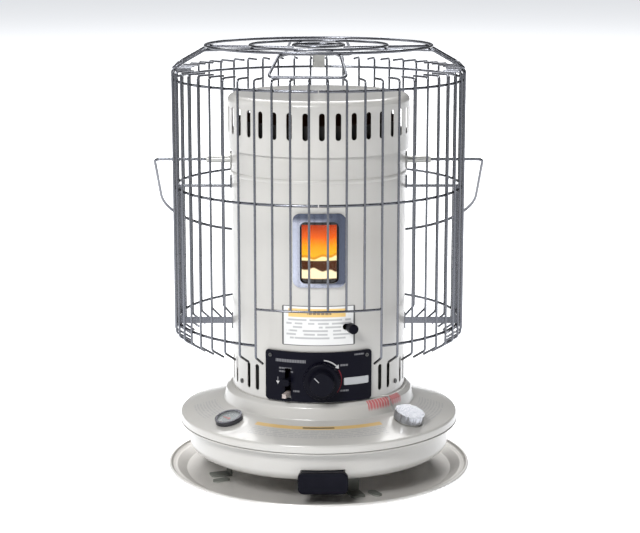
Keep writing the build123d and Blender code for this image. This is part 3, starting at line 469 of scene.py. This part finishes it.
def glass(name, color, alpha, roughness, streaks=0.1):
    finish = Finish(name, color, roughness)
    finish.shader.inputs["IOR"].default_value = 1.45
    haze = finish.noise(25.0, 4.0)
    finish.set("Alpha", alpha + haze * streaks)
    finish.set("Base Color", finish.tint(haze * 0.5, tuple(c * 0.8 for c in color)))
    return finish


PANE_CLEAR_X = (-0.0234, 0.0252)
PANE_CLEAR_Z = (0.3076, 0.3848)
PANE_EDGE = 0.0004


def pane_finish():
    """Clear heat-proof pane with a baked black border."""
    finish = glass("heat-proof pane", (0.20, 0.14, 0.08), 0.03, 0.08, 0.04)
    clear = finish.x.between(*PANE_CLEAR_X, PANE_EDGE) * finish.z.between(*PANE_CLEAR_Z, PANE_EDGE)
    haze = finish.noise(25.0, 4.0)
    finish.set("Alpha", 1 - clear * (0.97 - haze * 0.04))
    finish.set("Base Color", finish.tint(1 - clear, (0.008, 0.006, 0.006)))
    return finish


paint(pane_finish(), "window_pane")
paint(glass("chimney glass", (0.5, 0.42, 0.34), 0.012, 0.05, 0.02), "chimney_glass")
paint(glass("gauge lens", (0.8, 0.85, 0.85), 0.12, 0.05), "gauge_lens")


def dial_finish():
    """White gauge card with plain ticks and a red low zone."""
    finish = Finish("gauge card", (0.25, 0.26, 0.27), 0.45)
    centre = [(a + b) / 2 for a, b in zip(*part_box("gauge_dial"))]
    x, y = finish.x - centre[0], finish.y - centre[1]
    reach = (x * x + y * y).root()
    clock = x.angle(y)
    scale = reach.between(0.011, 0.0145, 0.0002)
    ticks = 1 - clock.repeat(radians(18)).step(0.02, 0.04)
    low = clock.between(radians(-150), radians(-100), 0.02)
    shade = finish.tint(ticks * scale, (0.8, 0.8, 0.8))
    finish.set("Base Color", finish.tint(low * scale * 0.9, (0.5, 0.05, 0.03), shade))
    finish.set("Roughness", 0.4 + finish.noise(60.0) * 0.1)
    return finish


paint(dial_finish(), "gauge_dial")


# ------------------------------------------------------------------ modelling helpers
def fresh():
    """Object mode with nothing selected, ready for an operator."""
    if bpy.context.mode != "OBJECT":
        bpy.ops.object.mode_set(mode="OBJECT")
    bpy.ops.object.select_all(action="DESELECT")


def seat(piece, name, finish, body):
    """Puts the piece's place into its mesh, names it, paints it and joins it to its body."""
    fresh()
    piece.select_set(True)
    bpy.context.view_layer.objects.active = piece
    bpy.ops.object.transform_apply(location=True, rotation=True, scale=True)
    piece.name = name
    piece.data.name = name
    piece.data.materials.clear()
    piece.data.materials.append(finish.material)
    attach(piece, body)
    return piece


def use(piece, kind, name, **settings):
    """Adds a modifier with these settings and applies it."""
    fresh()
    piece.select_set(True)
    bpy.context.view_layer.objects.active = piece
    modifier = piece.modifiers.new(name, kind)
    for key, value in settings.items():
        setattr(modifier, key, value)
    bpy.ops.object.modifier_apply(modifier=modifier.name)


def smooth(piece, angle=35):
    fresh()
    piece.select_set(True)
    bpy.context.view_layer.objects.active = piece
    bpy.ops.object.shade_smooth_by_angle(angle=radians(angle))


# ------------------------------------------------------------------ flame
FLAME_R = 0.066
FLAME_LOW = 0.262
FLAME_HIGH = 0.398
SIGHT_DROP = 0.0105
FLAME_WALL = 0.0006


def flame_finish():
    """Glow in the chimney: bright foot, dark flame ring, then yellow to red towards the top."""
    finish = Finish("flame glow", (0.0, 0.0, 0.0), 0.9)
    wave = {"W": finish.turn * 4.0, "Scale": 1.0, "Detail": 0.0}
    ripple = finish.node("ShaderNodeTexNoise", {"noise_dimensions": "1D"}, wave, "Fac")
    z = finish.z + SIGHT_DROP
    lick = finish.noise(30.0, 2.0, (1, 1, 0.35))
    stops = (
        (0.0, (0.95, 0.42, 0.012, 1)), (0.25, (0.95, 0.30, 0.005, 1)), (0.5, (0.72, 0.10, 0.006, 1)),
        (0.8, (0.42, 0.04, 0.008, 1)), (1.0, (0.20, 0.02, 0.01, 1)),
    )
    climb = (z - 0.340 + (lick - 0.5) * 0.02) / 0.05
    body = finish.node("ShaderNodeValToRGB", {"stops": stops}, {"Fac": climb})
    rim = z - (ripple - 0.5) * 0.010
    shade = finish.tint(rim.between(0.3375, 0.3415, 0.0008) * 0.6, (0.45, 0.16, 0.01), body)
    shade = finish.tint(1 - rim.step(0.3365, 0.3385), (1.0, 0.84, 0.40), shade)
    shade = finish.tint(1 - z.step(0.3325, 0.3345), (0.050, 0.010, 0.002), shade)
    foot = z + (ripple - 0.5) * 0.012
    shade = finish.tint(1 - foot.step(0.3185, 0.3215), (1.0, 0.84, 0.52), shade)
    shade = finish.tint(1 - z.step(0.3065, 0.3085), (0.02, 0.006, 0.004), shade)
    finish.set("Emission Color", shade)
    finish.shader.inputs["Emission Strength"].default_value = 1.5
    return finish


fresh()
bpy.ops.mesh.primitive_cylinder_add(
    vertices=96, radius=FLAME_R, depth=FLAME_HIGH - FLAME_LOW, end_fill_type="NOTHING",
    location=(0, 0, (FLAME_LOW + FLAME_HIGH) / 2),
)
flame = bpy.context.object
use(flame, "SOLIDIFY", "wall", thickness=FLAME_WALL)
smooth(flame)
seat(flame, "flame_curtain", flame_finish(), "burner")

# ------------------------------------------------------------------ small trim on the controls
POINTER_SIZE = (0.0012, 0.0006, 0.009)
POINTER_OUT = 0.0072
POINTER_LIFT = 0.0002
pointer_paint = plastic("pointer paint", (0.30, 0.30, 0.31), 0.5)
fresh()
pointer_place = (KNOB_X - POINTER_OUT, KNOB_LOW[1] - POINTER_LIFT, KNOB_Z + POINTER_OUT)
bpy.ops.mesh.primitive_cube_add(size=1, location=pointer_place)
pointer = bpy.context.object
pointer.scale = POINTER_SIZE
pointer.rotation_euler = (0, radians(-45), 0)
use(pointer, "BEVEL", "rounded", width=0.0002, segments=2)
seat(pointer, "knob_pointer", pointer_paint, "knob")


RECESS_REACH = 0.0014


def screw_cross(deg, z, r, name):
    """Painted shade of the cross recess in a round-headed screw: a thin dark inlay on its face."""
    fresh()
    bpy.ops.mesh.primitive_plane_add(size=0.0008)
    cross = bpy.context.object
    bpy.ops.object.mode_set(mode="EDIT")
    bpy.ops.mesh.select_mode(type="EDGE")
    bpy.ops.mesh.select_all(action="SELECT")
    bpy.ops.mesh.subdivide(number_cuts=0)
    bpy.ops.object.mode_set(mode="OBJECT")
    edges = [e.index for e in cross.data.edges]
    for index in edges:
        bpy.ops.object.mode_set(mode="EDIT")
        bpy.ops.mesh.select_all(action="DESELECT")
        bpy.ops.object.mode_set(mode="OBJECT")
        edge = cross.data.edges[index]
        edge.select = True
        middle = sum((cross.data.vertices[v].co for v in edge.vertices), Vector()) / 2
        bpy.ops.object.mode_set(mode="EDIT")
        reach = tuple(middle.normalized() * RECESS_REACH)
        bpy.ops.mesh.extrude_region_move(TRANSFORM_OT_translate={"value": reach})
    bpy.ops.object.mode_set(mode="OBJECT")
    use(cross, "SOLIDIFY", "inlay", thickness=0.0003)
    a = radians(deg)
    cross.rotation_euler = (radians(90), 0, a)
    cross.location = (r * sin(a), -r * cos(a), z)
    return seat(cross, name, recess_shade_paint, "heater")


# painted shade: near-black standing for the shade inside the screw recesses
recess_shade_paint = plastic("painted recess shade", (0.01, 0.01, 0.01), 0.8)
SCREW_FACES = ((-61, 0.146, 0.1277), (61, 0.146, 0.1277), (-31.5, 0.197, 0.1313), (31.5, 0.197, 0.1313))
for count, (deg, z, r) in enumerate(SCREW_FACES):
    screw_cross(deg, z, r, "screw_recess_shade_%d" % (count + 1))

# ------------------------------------------------------------------ floor, light and camera
FLOOR_SIZE = 160
FLOOR_GLOW = 0.66
floor_finish = Finish("studio floor", (0.86, 0.865, 0.875), 0.9)
floor_finish.set("Base Color", floor_finish.tint(floor_finish.noise(0.6) * 0.1, (0.82, 0.83, 0.85)))
floor_finish.set("Emission Color", (0.95, 0.97, 1.0, 1))
floor_finish.shader.inputs["Emission Strength"].default_value = FLOOR_GLOW
fresh()
bpy.ops.mesh.primitive_plane_add(size=FLOOR_SIZE, location=(0, 0, 0))
floor = bpy.context.object
floor.name = "studio_floor"
floor.data.materials.append(floor_finish.material)

world = bpy.data.worlds.new("studio")
bpy.context.scene.world = world
world.use_nodes = True
world.node_tree.nodes["Background"].inputs["Color"].default_value = (0.93, 0.95, 1.0, 1)
world.node_tree.nodes["Background"].inputs["Strength"].default_value = 0.12
bpy.context.scene.view_settings.view_transform = "Standard"


def soft_light(name, place, target, size, power, color=(1, 1, 1)):
    data = bpy.data.lights.new(name, "AREA")
    data.energy = power
    data.size = size
    data.color = color
    light = bpy.data.objects.new(name, data)
    bpy.context.collection.objects.link(light)
    light.location = place
    light.rotation_euler = (Vector(target) - Vector(place)).to_track_quat("-Z", "Y").to_euler()


soft_light("key", (-0.80, -2.05, 1.75), (0, 0, 0.3), 0.8, 60)
soft_light("rim", (-2.4, 0.6, 1.2), (0, 0, 0.3), 1.2, 8)
soft_light("top", (0.0, 0.5, 2.6), (0, 0, 0.3), 2.0, 24)
soft_light("backdrop", (0.0, 4.0, 4.0), (0, 5.0, 0), 4.0, 420)

EYE = Vector((0.002, -2.568, 0.8025))
AIM = Vector((0.002, 0.0, 0.3020))
camera_data = bpy.data.cameras.new("camera")
camera_data.lens = 100.7
camera = bpy.data.objects.new("camera", camera_data)
bpy.context.collection.objects.link(camera)
camera.location = EYE
camera.rotation_euler = (AIM - EYE).to_track_quat("-Z", "Y").to_euler()
bpy.context.scene.camera = camera
